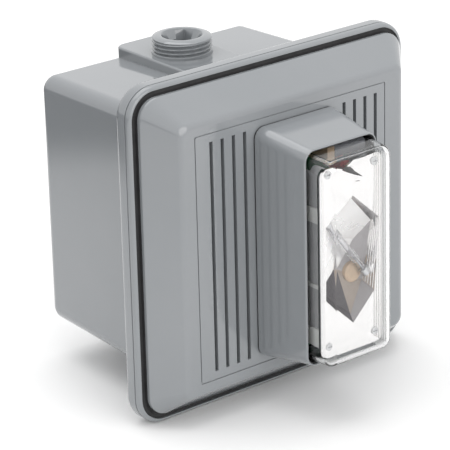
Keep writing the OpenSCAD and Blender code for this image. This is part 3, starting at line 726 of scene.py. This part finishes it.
# half-lengths and radii of the glass, outside and then inside
outline = ((-15, 1.1), (-15, 1.5), (-14.7, 1.6), (14.7, 1.6), (15, 1.5), (15, 1.1), (14.4, 1.05),
           (-14.4, 1.05))
envelope = loft("tube_envelope", [tube_ring(along, r) for along, r in outline], closed=True)
finish_piece(soften(envelope), TUBE, "tube_glass", BODY, "flash_tube")

# trigger wire wound round the tube, and its two electrodes
WIRE_R, WOUND_R, WIRE_PITCH, WIRE_STEPS = 0.13, 1.74, 1.5, 12
bm = bmesh.new()
for start, turns in ((-10.5, 3), (3.5, 4)):
    coil = [round_tube(start + WIRE_PITCH * i / WIRE_STEPS, 2 * math.pi * i / WIRE_STEPS, WOUND_R)
            for i in range(turns * WIRE_STEPS + 1)]
    for p, q in zip(coil, coil[1:]):
        rod_bm(bm, tuple(p), tuple(q), WIRE_R, 6)
for side in (-1, 1):
    rod_bm(bm, tuple(TUBE_AT + TUBE_DIR * (side * 15.2)), tuple(TUBE_AT + TUBE_DIR * (side * 9.5)), 0.35, 10)
wraps = to_mesh("trigger_wire", bm, 40)
finish_piece(wraps, SLOT_MATS["steel"], "steel", BODY)


# ---------------------------------------------------------------- stage, light, camera

# painted shade on the white floor, which the glossy sides reflect: direction, start and end in metres from
# the origin, and how much
FLOOR_PAINTED_SHADE = (((-0.62, 0.78, 0), 0.262, 0.34, 0.93),  # painted dark past where the table ends at the back left
                ((-0.78, 0.62, 0), 0.19, 0.5, 0.78),    # painted shade falling off to the left
                ((-0.62, -0.78, 0), 0.24, 0.6, 0.3))    # and to the front left


def floor():
    bm = bmesh.new()
    s = 6.0
    z = cad_lo.z - 0.2 * MM
    vs = [bm.verts.new(v) for v in ((-s, -s, z), (s, -s, z), (s, s, z), (-s, s, z))]
    bm.faces.new(vs)
    me = bpy.data.meshes.new("floor")
    bm.to_mesh(me)
    bm.free()
    ob = bpy.data.objects.new("floor", me)
    bpy.context.scene.collection.objects.link(ob)
    m, nt, b = new_mat("floor_paper_painted_shade")
    r = ramp(nt, noise(nt, 3, 3).outputs["Fac"], [(0.3, (0.86, 0.86, 0.86)), (0.7, (0.88, 0.88, 0.88))])
    tc = nt.nodes.new("ShaderNodeTexCoord")
    tone = r.outputs[0]
    # each band darkens the floor's colour as painted shade
    for direction, start, end, depth in FLOOR_PAINTED_SHADE:
        along = nt.nodes.new("ShaderNodeVectorMath")
        along.operation = "DOT_PRODUCT"
        along.inputs[1].default_value = direction
        nt.links.new(tc.outputs["Object"], along.inputs[0])
        edge = nt.nodes.new("ShaderNodeMapRange")
        edge.interpolation_type = "SMOOTHSTEP"
        edge.inputs["From Min"].default_value = start
        edge.inputs["From Max"].default_value = end
        edge.inputs["To Min"].default_value = 1.0
        edge.inputs["To Max"].default_value = 1.0 - depth
        nt.links.new(along.outputs["Value"], edge.inputs["Value"])
        mul = nt.nodes.new("ShaderNodeVectorMath")
        mul.operation = "SCALE"
        nt.links.new(tone, mul.inputs[0])
        nt.links.new(edge.outputs["Result"], mul.inputs["Scale"])
        tone = mul.outputs[0]
    nt.links.new(tone, b.inputs["Base Color"])
    b.inputs["Roughness"].default_value = 0.9
    b.inputs["Specular IOR Level"].default_value = 0.1
    me.materials.append(m)
    return ob


floor()


def area(name, at, target, size, power, color=(1, 1, 1), size_y=None):
    d = bpy.data.lights.new(name, "AREA")
    d.energy = power
    d.color = color
    d.size = size
    if size_y:
        d.shape = "RECTANGLE"
        d.size_y = size_y
    ob = bpy.data.objects.new(name, d)
    ob.location = at
    ob.rotation_mode = "QUATERNION"
    ob.rotation_quaternion = (Vector(target) - Vector(at)).to_track_quat("-Z", "Y")
    bpy.context.scene.collection.objects.link(ob)
    return ob


mid = (0, -0.06, 0)
area("top_box", (-0.05, 0.1, 1.2), mid, 1.3, 8.6)
area("left_box", (-0.9, -1.3, 0.3), mid, 0.8, 0.3, (0.93, 0.97, 1.0), size_y=0.9)
area("front_box", (0.0, -1.4, 0.35), mid, 1.2, 8.6, (1.0, 0.978, 0.96))

world = bpy.data.worlds.new("studio")
world.use_nodes = True
wn = world.node_tree
wn.nodes["Background"].inputs["Color"].default_value = (1, 1, 1, 1)
wn.nodes["Background"].inputs["Strength"].default_value = 1.0
scene = bpy.context.scene
scene.world = world

scene.view_settings.view_transform = "Standard"

CAM_AZ, CAM_EL, CAM_ROLL = -38.5, 21.66, -1.45          # degrees, from the front
CAM_LENS = 210.5
CAM_DIST = 1.1246                                       # metres from the cover's seat
CAM_SHIFT = (-0.02101, -0.00146)                        # metres to the right and up
cam_data = bpy.data.cameras.new("camera")
cam_data.lens = CAM_LENS
cam_data.sensor_width = 36
cam_data.clip_start, cam_data.clip_end = 0.05, 50
cam = bpy.data.objects.new("camera", cam_data)
scene.collection.objects.link(cam)
a, e, roll = (math.radians(v) for v in (CAM_AZ, CAM_EL, CAM_ROLL))
back = Vector((math.sin(a) * math.cos(e), -math.cos(a) * math.cos(e), math.sin(e)))
right = Vector((math.cos(a), math.sin(a), 0))
up = back.cross(right)
right_r = right * math.cos(roll) + up * math.sin(roll)
up_r = -right * math.sin(roll) + up * math.cos(roll)
rot = Matrix((right_r, up_r, back)).transposed()
origin = Vector((0, SEAT * MM, 0))
loc = origin + right_r * CAM_SHIFT[0] + up_r * CAM_SHIFT[1] + back * CAM_DIST
cam.matrix_world = Matrix.Translation(loc) @ rot.to_4x4()
scene.camera = cam
